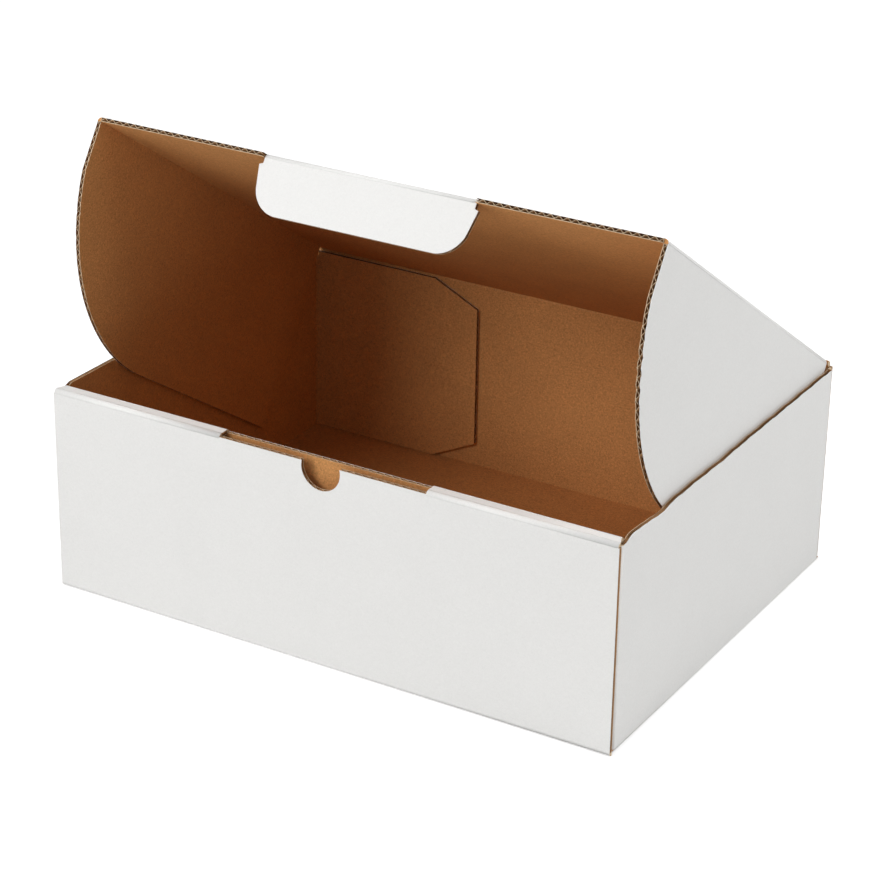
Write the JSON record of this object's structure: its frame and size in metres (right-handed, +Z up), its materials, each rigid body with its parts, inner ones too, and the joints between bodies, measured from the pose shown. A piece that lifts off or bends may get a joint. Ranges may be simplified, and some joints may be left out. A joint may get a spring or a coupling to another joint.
{
  "type": "corrugated mailer box",
  "caption": "Folded corrugated mailer box with a rolled-over front wall, a hinged lid with side wings, and a tuck tab that enters a slot with a thumb notch.",
  "frame": {"origin": "middle of the tray's underside, on the surface it stands on", "axes": "+X along the front wall to the right, +Y from the front wall to the lid's hinge, +Z up"},
  "size_m": [0.314, 0.237, 0.239],
  "materials": {
    "tray_board": "matte white outside, brown kraft inside",
    "lid_board": "matte white outside, brown kraft inside",
    "left_wing_board": "matte white outside, brown kraft inside",
    "right_wing_board": "matte white outside, brown kraft inside",
    "tuck_tab_board": "matte white outside, brown kraft inside"
  },
  "bodies": {
    "tray": {"tray": "tray_board"},
    "lid": {"lid": "lid_board"},
    "left_wing": {"left_wing": "left_wing_board"},
    "right_wing": {"right_wing": "right_wing_board"},
    "tuck_tab": {"tuck_tab": "tuck_tab_board"}
  },
  "joints": [
    {"name": "lid_hinge", "type": "hinge", "parent": "tray", "child": "lid", "pos_m": [0, 0.1174, 0.1104], "axis": [-1, 0, 0], "range_deg": [-33, 75]},
    {"name": "left_wing_fold", "type": "hinge", "parent": "lid", "child": "left_wing", "pos_m": [-0.1518, 0.11664, 0.10923], "axis": [0, -0.8387, 0.5446], "range_deg": [0, 75]},
    {"name": "right_wing_fold", "type": "hinge", "parent": "lid", "child": "right_wing", "pos_m": [0.1518, 0.11664, 0.10923], "axis": [0, 0.8387, -0.5446], "range_deg": [0, 75]},
    {"name": "tuck_tab_fold", "type": "hinge", "parent": "lid", "child": "tuck_tab", "pos_m": [0, -0.07613, 0.23608], "axis": [-1, 0, 0], "range_deg": [0, 90]}
  ]
}
